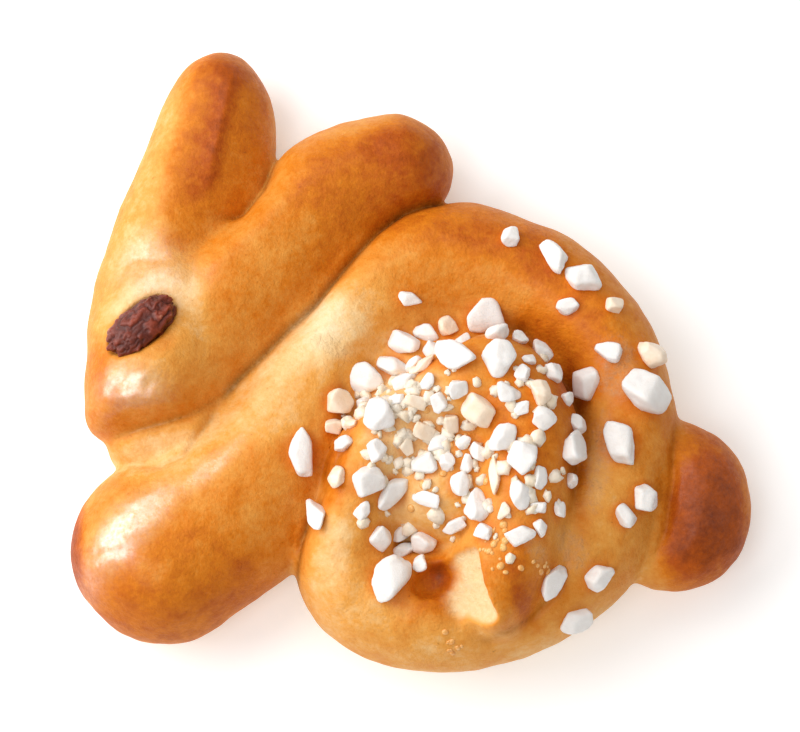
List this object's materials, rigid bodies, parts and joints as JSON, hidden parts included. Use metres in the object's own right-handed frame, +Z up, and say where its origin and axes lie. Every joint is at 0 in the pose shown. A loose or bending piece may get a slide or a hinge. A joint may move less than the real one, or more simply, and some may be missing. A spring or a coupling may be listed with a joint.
{
  "type": "bunny-shaped brioche bun",
  "caption": "Sweet brioche bun in the shape of a lying bunny: a head with long ears, a forepaw, a coiled body and a ball of a tail, with a raisin eye and pearl sugar.",
  "frame": {"origin": "under the middle of the bun's bounding box, on its flat base", "axes": "+Z up from the tray, +X from the nose to the tail, +Y from the belly to the tips of the ears"},
  "size_m": [0.1106, 0.1054, 0.0318],
  "materials": {
    "crust": "egg-washed brioche crust, satin",
    "raisin": "wrinkled dried fruit, satin",
    "sugar": "white pressed sugar, satin"
  },
  "bodies": {
    "root": {"bun": "crust", "raisin_eye": "raisin"}
  },
  "joints": []
}
